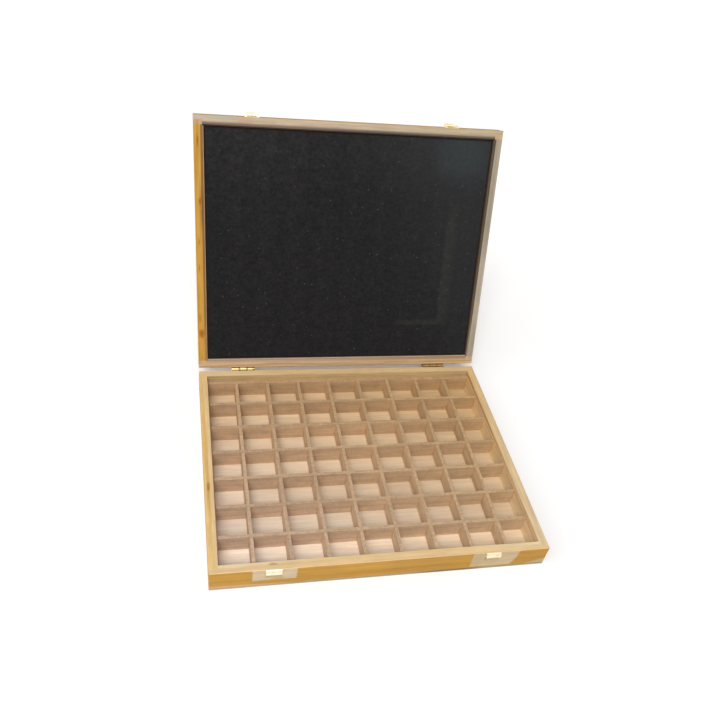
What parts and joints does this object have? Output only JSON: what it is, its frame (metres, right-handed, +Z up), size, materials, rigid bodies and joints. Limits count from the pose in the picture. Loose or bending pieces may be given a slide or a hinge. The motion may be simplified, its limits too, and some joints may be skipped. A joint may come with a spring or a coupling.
{
  "type": "lidded compartment case",
  "caption": "Shallow wooden case with a grid of equal compartments from halved dividers, a hinged foam-lined lid that stops past upright, and lever catches at the front.",
  "frame": {"origin": "centre of the base's underside, on the surface the case stands on", "axes": "+X to the right along the width, +Y from the catches to the hinges, +Z up"},
  "size_m": [0.3, 0.3494, 0.2575],
  "materials": {
    "case_wood": "amber lacquered softwood",
    "grid_wood": "bare light wood",
    "floor_ply": "bare pale plywood",
    "lid_ply": "lacquered plywood",
    "lid_lining": "bare thin strip",
    "foam": "black open-cell foam",
    "brass": "bright stamped brass"
  },
  "bodies": {
    "base": {"base_front": "case_wood", "base_back": "case_wood", "base_left": "case_wood", "base_right": "case_wood", "base_bottom": "floor_ply", "base_liner_front": "grid_wood", "base_liner_back": "grid_wood", "base_liner_left": "grid_wood", "base_liner_right": "grid_wood", "base_filler_back": "grid_wood", "divider_long_1": "grid_wood", "divider_long_2": "grid_wood", "divider_long_3": "grid_wood", "divider_long_4": "grid_wood", "divider_long_5": "grid_wood", "divider_long_6": "grid_wood", "divider_long_7": "grid_wood", "divider_long_8": "grid_wood", "divider_cross_1": "grid_wood", "divider_cross_2": "grid_wood", "divider_cross_3": "grid_wood", "divider_cross_4": "grid_wood", "divider_cross_5": "grid_wood", "divider_cross_6": "grid_wood", "hinge_left_base_leaf": "brass", "hinge_left_pin": "brass", "catch_left_keeper": "brass", "hinge_right_base_leaf": "brass", "hinge_right_pin": "brass", "catch_right_keeper": "brass", "base_hinge_screws": "brass", "keeper_nails": "brass"},
    "lid": {"lid_front": "case_wood", "lid_back": "case_wood", "lid_left": "case_wood", "lid_right": "case_wood", "lid_panel": "lid_ply", "lid_liner_front": "lid_lining", "lid_liner_back": "lid_lining", "lid_liner_left": "lid_lining", "lid_liner_right": "lid_lining", "foam_pad": "foam", "hinge_left_lid_leaf": "brass", "catch_left_lid_plate": "brass", "catch_left_pin": "brass", "hinge_right_lid_leaf": "brass", "catch_right_lid_plate": "brass", "catch_right_pin": "brass", "lid_hinge_screws": "brass", "catch_plate_nails": "brass"},
    "lever_left": {"catch_left_lever": "brass"},
    "lever_right": {"catch_right_lever": "brass"}
  },
  "joints": [
    {"name": "lid_hinge", "type": "hinge", "parent": "base", "child": "lid", "pos_m": [0, 0.1246, 0.02365], "axis": [1, 0, 0], "range_deg": [0, 110]},
    {"name": "lever_left_pivot", "type": "hinge", "parent": "lid", "child": "lever_left", "pos_m": [-0.0968, 0.21375, 0.25645], "axis": [1, 0, 0], "range_deg": [0, 177]},
    {"name": "lever_right_pivot", "type": "hinge", "parent": "lid", "child": "lever_right", "pos_m": [0.0968, 0.21375, 0.25645], "axis": [1, 0, 0], "range_deg": [0, 177]}
  ]
}
